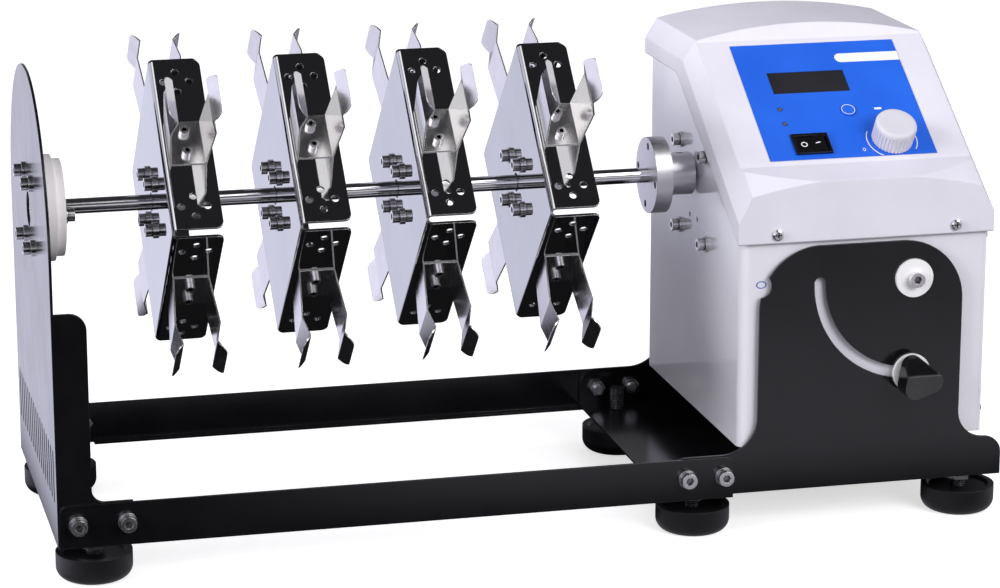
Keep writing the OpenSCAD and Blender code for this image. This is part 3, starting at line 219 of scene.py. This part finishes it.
def turned(name, dark, light, rough):
    """Machined metal with fine turning lines about the shaft's axis."""
    mat, tree, bsdf = new_material(name)
    from_shaft = vector_step(tree, "SUBTRACT", object_coords(tree), (0, SHIFT.y, SHAFT_Z))[0]
    flattened = vector_step(tree, "MULTIPLY", from_shaft, (ALONG_SHAFT, 1, 1))[0]
    radius = vector_step(tree, "LENGTH", flattened)["Value"]
    phase = add(tree, "ShaderNodeMath", operation="MULTIPLY")
    phase.inputs[1].default_value = TURNING_LINES
    tree.links.new(radius, phase.inputs[0])
    wave = add(tree, "ShaderNodeMath", operation="SINE")
    tree.links.new(phase.outputs[0], wave.inputs[0])
    drift = noise(tree, scale=60.0, detail=3.0, rough=0.6)
    drifting(tree, bsdf, drift, dark, light, rough)
    bsdf.inputs["Metallic"].default_value = 1.0
    bump(tree, bsdf, wave.outputs[0], strength=0.08, distance=0.00002, edge=0.0004)
    return mat


def threaded(name, dark, light, rough, pitch):
    """Steel with the relief of an upright screw thread."""
    mat, tree, bsdf = new_material(name)
    wave = add(tree, "ShaderNodeTexWave", bands_direction="Z")
    wave.inputs["Scale"].default_value = math.tau / pitch / WAVE_RADIANS
    tree.links.new(object_coords(tree), wave.inputs["Vector"])
    drift = noise(tree, scale=400.0, detail=3.0, rough=0.6)
    drifting(tree, bsdf, drift, dark, light, rough)
    bsdf.inputs["Metallic"].default_value = 1.0
    bump(tree, bsdf, wave.outputs["Fac"], strength=0.8, distance=0.0004)
    return mat


# Finishes by the record's material slots
MATERIALS = {
    "black_coat": surface("black coat", (0.004, 0.004, 0.005), (0.0065, 0.0065, 0.008), (0.13, 0.19),
                          grain=1400, relief=0.04, depth=0.00004, edge=0.0005, specular=0.6),
    "white_coat": surface("white coat", (0.75, 0.735, 0.81), (0.79, 0.775, 0.85), (0.32, 0.38),
                          grain=1100, relief=0.02, depth=0.00003, edge=0.0005, coat=1.0, coat_rough=0.08),
    "hood_plastic": surface("hood plastic", (0.70, 0.68, 0.775), (0.75, 0.73, 0.82), (0.4, 0.5),
                            grain=2200, relief=0.12, depth=0.00004, edge=0.0012),
    "nylon": surface("nylon", (0.82, 0.81, 0.83), (0.87, 0.86, 0.88), (0.42, 0.52),
                     grain=1500, relief=0.08),
    "polished_steel": surface("polished steel", (0.43, 0.43, 0.44), (0.48, 0.48, 0.49), (0.02, 0.045),
                              metallic=1.0, grain=500, relief=0.01, depth=0.00003, edge=0.0003),
    "spring_steel": surface("spring steel", (0.68, 0.665, 0.67), (0.76, 0.745, 0.75), (0.16, 0.22),
                            metallic=1.0, grain=1800, relief=0.05, depth=0.00002, edge=0.0003, patch=120),
    # Screw steel has painted shade in its sockets and hollows, within 3 mm
    "screw_steel": surface("screw steel", (0.66, 0.65, 0.66), (0.76, 0.75, 0.76), (0.18, 0.26),
                           metallic=1.0, grain=2500, relief=0.05, depth=0.00002, edge=0.0003, patch=300,
                           painted_shade_reach=0.003),
    "bearing_steel": surface("ground steel", (0.70, 0.70, 0.72), (0.78, 0.78, 0.80), (0.08, 0.13),
                             metallic=1.0, grain=1500, relief=0.03, depth=0.00002, stretch=(0.1, 1, 1)),
    "machined_aluminium": turned("machined aluminium", (0.64, 0.63, 0.66), (0.72, 0.71, 0.74),
                                 (0.32, 0.42)),
    "black_rubber": surface("black rubber", (0.003, 0.003, 0.0036), (0.005, 0.005, 0.006), (0.35, 0.5),
                            grain=1800, relief=0.15, depth=0.00005, edge=0.0008, specular=0.3),
    "panel_blue": surface("panel blue", (0.008, 0.105, 0.66), (0.011, 0.125, 0.73), (0.4, 0.5),
                          grain=3000, relief=0.05, depth=0.00002, edge=0.0002),
    "display_black": surface("display window", (0.018, 0.018, 0.022), (0.024, 0.024, 0.029), (0.12, 0.18),
                             grain=2000, relief=0.01, depth=0.00001, edge=0.0003),
    "lens_red": surface("indicator lens", (0.05, 0.045, 0.05), (0.09, 0.08, 0.085), (0.12, 0.2),
                        patch=400),
    "board_green": surface("board", (0.02, 0.12, 0.05), (0.03, 0.16, 0.07), (0.4, 0.5)),
    "switch_black": surface("black plastic", (0.0035, 0.0035, 0.0045), (0.006, 0.006, 0.0075), (0.12, 0.18),
                            grain=2500, relief=0.04, depth=0.00002, edge=0.0005),
    "knob_grey": surface("knob grey", (0.59, 0.575, 0.64), (0.64, 0.625, 0.69), (0.42, 0.52),
                         grain=2500, relief=0.08, depth=0.00003, edge=0.0005),
    "pot_metal": surface("potentiometer", (0.45, 0.45, 0.47), (0.55, 0.55, 0.57), (0.3, 0.4),
                         metallic=1.0),
    "gearbox_metal": surface("gearbox casting", (0.5, 0.5, 0.52), (0.6, 0.6, 0.62), (0.4, 0.5),
                             metallic=1.0),
    "motor_steel": surface("motor coat", (0.1, 0.1, 0.11), (0.14, 0.14, 0.15), (0.35, 0.45)),
    "armature": surface("armature", (0.35, 0.2, 0.12), (0.5, 0.3, 0.2), (0.35, 0.5), metallic=1.0),
    "gear_brass": surface("gear brass", (0.62, 0.45, 0.18), (0.72, 0.55, 0.26), (0.22, 0.32), metallic=1.0),
}
# Finishes that differ from their slot's, and the print
PRINT_WHITE = surface("white print", (0.84, 0.84, 0.86), (0.9, 0.9, 0.92), (0.45, 0.55),
                      grain=3000, edge=0.0)
PRINT_BLUE = surface("blue print", (0.02, 0.09, 0.42), (0.03, 0.12, 0.5), (0.45, 0.55),
                     grain=3000, edge=0.0)
# The bearing block's plastic is whiter than its slot's nylon: painted light that makes up for the shade the
# end plate casts on it
BLOCK_PLASTIC_PAINTED_LIGHT = surface("block plastic with painted light", (0.91, 0.87, 0.89), (0.95, 0.91, 0.93), (0.4, 0.5),
                        grain=1500, relief=0.08, edge=0.0006)
KNOB_END = surface("clamp knob's end", (0.022, 0.022, 0.024), (0.036, 0.035, 0.038), (0.5, 0.6),
                   grain=1600, relief=0.5, depth=0.00015)
KNOB_GRIP = surface("clamp knob's grip", (0.0035, 0.0035, 0.0045), (0.006, 0.006, 0.0075), (0.14, 0.2),
                    grain=2500, relief=0.04, depth=0.00002, edge=0.0025)
# Bright steel has painted shade in its sockets and hollows, within 3 mm
BRIGHT_STEEL = surface("bright steel", (0.84, 0.82, 0.83), (0.92, 0.90, 0.91), (0.24, 0.32),
                       metallic=1.0, grain=2500, relief=0.05, depth=0.00002, edge=0.0003, patch=300,
                       painted_shade_reach=0.003)
STUD_STEEL = threaded("threaded stud", (0.05, 0.05, 0.055), (0.09, 0.09, 0.095), (0.22, 0.32),
                      pitch=0.00125)
OWN_FINISH = {
    "bearing_block": BLOCK_PLASTIC_PAINTED_LIGHT,
    "clamp_knob": KNOB_GRIP,
    "rail_screws": BRIGHT_STEEL,
    "pivot_bolts": BRIGHT_STEEL,
}
# A stud's radius with a small margin, and a height just above its lower end
STUD_REACH = 0.00402
STUD_LOW = 0.006
# The clamp knob's end: how squarely its faces look forwards, and how far it reaches back
KNOB_END_FACING = -0.9
KNOB_END_DEPTH = 0.004

for part in frame["record"]["subparts"]:
    mesh = nodes[part["node"]].data
    mesh.materials.clear()
    mesh.materials.append(OWN_FINISH.get(part["node"], MATERIALS[part["material_slot"]]))


def second_material(node, mat, wanted, limit):
    """Gives the faces of a node that pass a test a material of their own."""
    mesh = nodes[node].data
    mesh.materials.append(mat)
    for face in mesh.polygons:
        if wanted(face, limit):
            face.material_index = 1


def on_stud(face, axis):
    """Whether a foot's face lies within the stud's radius and above its lower end."""
    return (face.center.xy - axis).length < STUD_REACH and face.center.z > STUD_LOW


def on_knob_end(face, front):
    """Whether a face of the clamp knob looks forwards and is near its front."""
    return face.normal.y < KNOB_END_FACING and face.center.y < front + KNOB_END_DEPTH


# The feet's studs are steel, their pads rubber
for k in range(1, FOOT_COUNT + 1):
    low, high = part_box("foot_%d" % k)
    axis = Vector(((low[0] + high[0]) / 2, (low[1] + high[1]) / 2))
    second_material("foot_%d" % k, STUD_STEEL, on_stud, axis)

# The clamp knob's end is grained, its grip glossy
knob_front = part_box("clamp_knob")[0][1]
second_material("clamp_knob", KNOB_END, on_knob_end, knob_front)


# Printed marks

INK_GAP = 0.00001
INK_DEPTH = 0.00005
CORNER_STEPS = 8
FULL_TURN = (0, 360)


def new_object(name, data):
    obj = bpy.data.objects.new(name, data)
    scene.collection.objects.link(obj)
    return obj


def mesh_piece(name, verts, faces, mat, body, matrix):
    """A mesh that is moved into the part's frame by a matrix and rides on a body."""
    mesh = bpy.data.meshes.new(name)
    mesh.from_pydata(verts, [], faces)
    mesh.validate()
    mesh.transform(matrix)
    mesh.materials.append(mat)
    mesh.update()
    obj = new_object(name, mesh)
    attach(obj, body)


def ink_on(height):
    """The heights between which print lies on a face at a height."""
    return height + INK_GAP, height + INK_GAP + INK_DEPTH


def slab(name, outline, layer, mat, body, matrix):
    """A thin printed layer from an outline in x and y, between two heights."""
    n = len(outline)
    verts = [(x, y, z) for z in layer for x, y in outline]
    faces = [tuple(range(n, 2 * n)), tuple(reversed(range(n)))]
    faces += [(i, (i + 1) % n, n + (i + 1) % n, n + i) for i in range(n)]
    mesh_piece(name, verts, faces, mat, body, matrix)


def band(name, centre, radii, angles, layer, mat, body, matrix, steps=64, widen=1.0):
    """A flat arc or ring of print between two radii and two angles in degrees, widened in x."""
    closed = abs(angles[1] - angles[0]) >= 360
    count = steps if closed else steps + 1
    verts = []
    for z in layer:
        for r in radii:
            for i in range(count):
                a = math.radians(angles[0] + (angles[1] - angles[0]) * i / steps)
                verts.append((centre[0] + r * math.cos(a) * widen, centre[1] + r * math.sin(a), z))
    faces = []
    for i in range(steps):
        j = (i + 1) % count
        faces.append((2 * count + i, 3 * count + i, 3 * count + j, 2 * count + j))
        faces.append((i, j, count + j, count + i))
        faces.append((count + i, count + j, 3 * count + j, 3 * count + i))
        faces.append((j, i, 2 * count + i, 2 * count + j))
    if not closed:
        faces.append((0, count, 3 * count, 2 * count))
        faces.append((count + steps, steps, 2 * count + steps, 3 * count + steps))
    mesh_piece(name, verts, faces, mat, body, matrix)


def rounded(x0, y0, x1, y1, r, sides=(1, 1, 1, 1)):
    """Outline of a rectangle with rounded corners: lower left, lower right, upper right, upper left."""
    points = []
    corners = [(x0, y0, 180), (x1, y0, 270), (x1, y1, 0), (x0, y1, 90)]
    for (x, y, start), is_round in zip(corners, sides):
        if not is_round:
            points.append((x, y))
            continue
        cx = x + r if x == x0 else x - r
        cy = y + r if y == y0 else y - r
        for i in range(CORNER_STEPS + 1):
            a = math.radians(start + 90 * i / CORNER_STEPS)
            points.append((cx + r * math.cos(a), cy + r * math.sin(a)))
    return points


# From the panel's frame (x across, y up the slope, z out of it) to the part's frame
on_panel = Matrix.Translation(PANEL_TOP) @ Matrix.Rotation(SLOPE, 4, "X")
panel_ink = ink_on(PANEL_FACE)

# Bare name field, ending at the panel's right edge
NAME_FIELD = rounded(0.0103, -0.0168, PANEL_W / 2 - 0.0001, -0.0098, 0.0034, (1, 0, 0, 1))
slab("name_field", NAME_FIELD, panel_ink, PRINT_WHITE, "base", on_panel)

# Scale round the speed knob, the bar above it and the 0 at its start
SCALE_RADII = (0.0141, 0.0146)
SPEED_BAR = rounded(0.0220, -0.0556, 0.0262, -0.0541, 0.0003)
ZERO_AT = (0.0073, -0.0862)
ZERO_RADII = (0.00085, 0.00125)
for name, angles in (("speed_scale_left", (150, 236)), ("speed_scale_right", (-35, 10))):
    band(name, KNOB_AT, SCALE_RADII, angles, panel_ink, PRINT_WHITE, "base", on_panel)
slab("speed_bar", SPEED_BAR, panel_ink, PRINT_WHITE, "base", on_panel)
band("scale_zero", ZERO_AT, ZERO_RADII, FULL_TURN, panel_ink, PRINT_WHITE, "base", on_panel,
     steps=32, widen=0.7)

# Ring printed on the mode button
MODE_RADII = (0.0036, 0.0039)
button_ink = ink_on(PANEL_FACE + BUTTON_RISE)
band("mode_ring", BUTTON_AT, MODE_RADII, FULL_TURN, button_ink, PRINT_WHITE, "mode_button", on_panel)

# Marks of the rocker: a ring for off on its level half, a bar for on on its tilted half
OFF_AT = (-0.0042, 0.0)
OFF_RADII = (0.0013, 0.00185)
ON_BAR = rounded(0.0030, -0.0003, 0.0056, 0.0003, 0.0002)
rocker_ink = ink_on(ROCKER_HEIGHT)
level_half = on_panel @ Matrix.Translation((*SWITCH_AT, ROCKER_AXIS))
tilted_half = level_half @ Matrix.Rotation(-ROCKER_BEND, 4, "Y")
band("rocker_off", OFF_AT, OFF_RADII, FULL_TURN, rocker_ink, PRINT_WHITE, "rocker", level_half, steps=40)
slab("rocker_on", ON_BAR, rocker_ink, PRINT_WHITE, "rocker", tilted_half)

# Angle mark on the head behind the yoke's notch
ANGLE_AT = (0.0019, 0.0)
ANGLE_RADII = (0.0016, 0.0021)
notch = Vector((NOTCH_X, HEAD_FRONT, NOTCH_Z))
on_head = Matrix.Translation(notch) @ Matrix.Rotation(math.radians(90), 4, "X")
band("angle_zero", ANGLE_AT, ANGLE_RADII, FULL_TURN, ink_on(0.0), PRINT_BLUE, "base", on_head,
     steps=40, widen=1.45)


# Stage and world: white to the camera, soft to diffuse light, graded to mirrors

LAVENDER = (0.88, 0.88, 1.08)
REAR_GREY = (0.16, 0.16, 0.17)
GLOW_GREY = (0.7, 0.69, 0.72)
FRONT_GREY = (0.5, 0.49, 0.55)

# Soft steps on the floor that mirrors see: start and end in metres, then low and high
BESIDE_X = (-0.262, -0.28)
BESIDE_Y = (-0.14, -0.06)
BEHIND_X = (-0.03, -0.11, 0.3, 1.0)
BEHIND_Y = (0.12, 0.34)
FRONT_X = (-0.22, 0.06)
FRONT_NEAR = (-0.13, -0.24)
FRONT_FAR = (-0.7, -0.35, 0.5, 1.0)
STRIP_FRONT = (-0.12, -0.1)
STRIP_BACK = (-0.045, -0.065)
FLOOR_DARK = (0.012, 0.012, 0.013)
FLOOR_PALE = 0.85
FLOOR_GLOW = 0.62
FLOOR_SOFT = 0.15
FLOOR_REACH = 6

# Zones of the world that mirrors see: colour, axis, soft step along that axis, soft step in height
WORLD_ZONES = {
    "left": (LAVENDER, "x", (-0.05, -0.35), (0.86, 0.62)),
    "rear": (REAR_GREY, "y", (0.0, 0.3), (0.7, 0.4)),
    "front": (GLOW_GREY, "y", (0.0, -0.4), (0.34, 0.16)),
    "right": (GLOW_GREY, "x", (0.5, 0.8), (0.7, 0.45)),
}
# Softboxes that mirrors see: direction, level, soft edge in cosines
SOFTBOXES = {
    "right": ((0.55, -0.55, 0.63), 4.5, (0.88, 0.94)),
    "left": ((-0.5, -0.2, 0.84), 1.9, (0.955, 0.985)),
}
WORLD_DARK = (0.03, 0.03, 0.033)
SOFT_LEVEL = 0.5
SOFT_TINT = (0.955, 0.95, 1.0)


def tinted(tree, colour, value):
    node = add(tree, "ShaderNodeVectorMath", operation="SCALE")
    node.inputs[0].default_value = colour
    tree.links.new(value, node.inputs["Scale"])
    return node.outputs["Vector"]


def total(tree, colours, base):
    """The sum of colours, over a base level."""
    result = None
    for colour in colours:
        node = add(tree, "ShaderNodeVectorMath", operation="ADD")
        node.inputs[0].default_value = base
        if result:
            tree.links.new(result, node.inputs[0])
        tree.links.new(colour, node.inputs[1])
        result = node.outputs["Vector"]
    return result


def split(tree, vector):
    node = add(tree, "ShaderNodeSeparateXYZ")
    tree.links.new(vector, node.inputs[0])
    return {"x": node.outputs["X"], "y": node.outputs["Y"], "z": node.outputs["Z"]}


def by_ray(tree, ray, other, seen):
    """One shader for rays of a kind, another for the rest."""
    node = add(tree, "ShaderNodeMixShader")
    path = add(tree, "ShaderNodeLightPath")
    tree.links.new(path.outputs[ray], node.inputs["Fac"])
    tree.links.new(other.outputs[0], node.inputs[1])
    tree.links.new(seen.outputs[0], node.inputs[2])
    return node


def diffuse(tree, level):
    node = add(tree, "ShaderNodeBsdfDiffuse")
    node.inputs["Color"].default_value = (level, level, level, 1)
    return node


def emission(tree, level=1.0):
    node = add(tree, "ShaderNodeEmission")
    node.inputs["Strength"].default_value = level
    return node


def background(tree, level=1.0, colour=(1, 1, 1)):
    node = add(tree, "ShaderNodeBackground")
    node.inputs["Color"].default_value = (*colour, 1)
    node.inputs["Strength"].default_value = level
    return node


def floor_colour(tree):
    """What mirrors see of the floor: dark below the part, pale behind, beside and in front of it."""
    at = split(tree, add(tree, "ShaderNodeNewGeometry").outputs["Position"])
    beside = product(tree, smooth(tree, at["x"], *BESIDE_X), smooth(tree, at["y"], *BESIDE_Y))
    behind = product(tree, smooth(tree, at["y"], *BEHIND_Y), smooth(tree, at["x"], *BEHIND_X))
    back = tinted(tree, LAVENDER, larger(tree, behind, beside))
    front_level = product(tree, smooth(tree, at["y"], *FRONT_NEAR), smooth(tree, at["y"], *FRONT_FAR))
    front = tinted(tree, FRONT_GREY, product(tree, front_level, smooth(tree, at["x"], *FRONT_X)))
    strip = product(tree, smooth(tree, at["y"], *STRIP_FRONT), smooth(tree, at["y"], *STRIP_BACK))
    inside = tinted(tree, FRONT_GREY, strip)
    return total(tree, (back, front, inside), FLOOR_DARK)


def floor_material():
    """White to the camera with the part's shadow, soft to diffuse light, graded to mirrors."""
    mat, tree, bsdf = new_material("floor")
    tree.nodes.remove(bsdf)
    mirrored = emission(tree)
    tree.links.new(floor_colour(tree), mirrored.inputs["Color"])
    shown = add(tree, "ShaderNodeAddShader")
    tree.links.new(diffuse(tree, FLOOR_PALE).outputs[0], shown.inputs[0])
    tree.links.new(emission(tree, FLOOR_GLOW).outputs[0], shown.inputs[1])
    unseen = by_ray(tree, "Is Glossy Ray", diffuse(tree, FLOOR_SOFT), mirrored)
    seen = by_ray(tree, "Is Camera Ray", unseen, shown)
    tree.links.new(seen.outputs[0], tree.nodes["Material Output"].inputs["Surface"])
    return mat


def zone(tree, at, colour, axis, reach, height):
    """A soft field of colour on one side of the world, up to a height."""
    level = product(tree, smooth(tree, at[axis], *reach), smooth(tree, at["z"], *height))
    return tinted(tree, colour, level)


def softbox(tree, direction, towards, level, edge):
    """A round soft patch of light on the world, about a direction; its edge is given in cosines."""
    cosine = vector_step(tree, "DOT_PRODUCT", direction, Vector(towards).normalized())["Value"]
    return tinted(tree, (level, level, level), smooth(tree, cosine, *edge))


def studio_world():
    """White to the camera, plain soft light to the object, zones and softboxes to mirrors."""
    world = bpy.data.worlds.new("studio")
    world.use_nodes = True
    tree = world.node_tree
    tree.nodes.clear()
    direction = add(tree, "ShaderNodeTexCoord").outputs["Generated"]
    at = split(tree, direction)
    glows = [zone(tree, at, *values) for values in WORLD_ZONES.values()]
    glows += [softbox(tree, direction, *values) for values in SOFTBOXES.values()]
    mirrored = background(tree)
    tree.links.new(total(tree, glows, WORLD_DARK), mirrored.inputs["Color"])
    soft = background(tree, SOFT_LEVEL, SOFT_TINT)
    unseen = by_ray(tree, "Is Glossy Ray", soft, mirrored)
    seen = by_ray(tree, "Is Camera Ray", unseen, background(tree))
    out = add(tree, "ShaderNodeOutputWorld")
    tree.links.new(seen.outputs[0], out.inputs["Surface"])
    return world


def floor_sheet():
    """A wide flat square at the height of the bench."""
    mesh = bpy.data.meshes.new("floor")
    corners = [(-1, -1), (1, -1), (1, 1), (-1, 1)]
    verts = [(x * FLOOR_REACH, y * FLOOR_REACH, 0) for x, y in corners]
    mesh.from_pydata(verts, [], [(0, 1, 2, 3)])
    mesh.materials.append(floor_material())
    return new_object("floor", mesh)


scene.world = studio_world()
floor = floor_sheet()


# Lamps: name, place, target, size, watts, spread in degrees
LAMPS = (
    ("key", (0.7, -1.6, 0.95), (0.0, 0.0, 0.12), (1.0, 0.8), 20.5, 180),
    ("fill", (-1.6, -0.45, 0.7), (0.1, 0.0, 0.2), (1.3, 0.9), 20, 180),
    ("left top", (-1.3, -0.35, 0.9), (0.1, -0.1, 0.9), (1.2, 0.3), 4, 76),
)


def area_light(name, place, target, size, power, spread):
    """A soft lamp that mirrors don't show; its light fades out towards the edge of its spread."""
    data = bpy.data.lights.new(name, "AREA")
    data.shape = "RECTANGLE"
    data.size, data.size_y = size
    data.energy = power
    data.spread = math.radians(spread)
    obj = new_object(name, data)
    obj.location = place
    direction = Vector(target) - Vector(place)
    obj.rotation_euler = direction.to_track_quat("-Z", "Y").to_euler()
    obj.visible_glossy = False


for lamp in LAMPS:
    area_light(*lamp)

# Camera fitted to the photo
YAW = math.radians(13.90)
PITCH = math.radians(14.60)
CAMERA_AT = Vector((-0.17498, -1.76555, 0.59433)) + SHIFT
SENSOR_MM = 36
LENS_MM = 120.35
CLIP_END = 50

forward = Vector((math.sin(YAW) * math.cos(PITCH), math.cos(YAW) * math.cos(PITCH), -math.sin(PITCH)))
right = Vector((math.cos(YAW), -math.sin(YAW), 0))
up = right.cross(forward)
camera_data = bpy.data.cameras.new("camera")
camera_data.sensor_width = SENSOR_MM
camera_data.lens = LENS_MM
camera_data.clip_end = CLIP_END
camera = new_object("camera", camera_data)
turn = Matrix((right, up, -forward)).transposed().to_4x4()
camera.matrix_world = Matrix.Translation(CAMERA_AT) @ turn
scene.camera = camera
scene.view_settings.view_transform = "Standard"
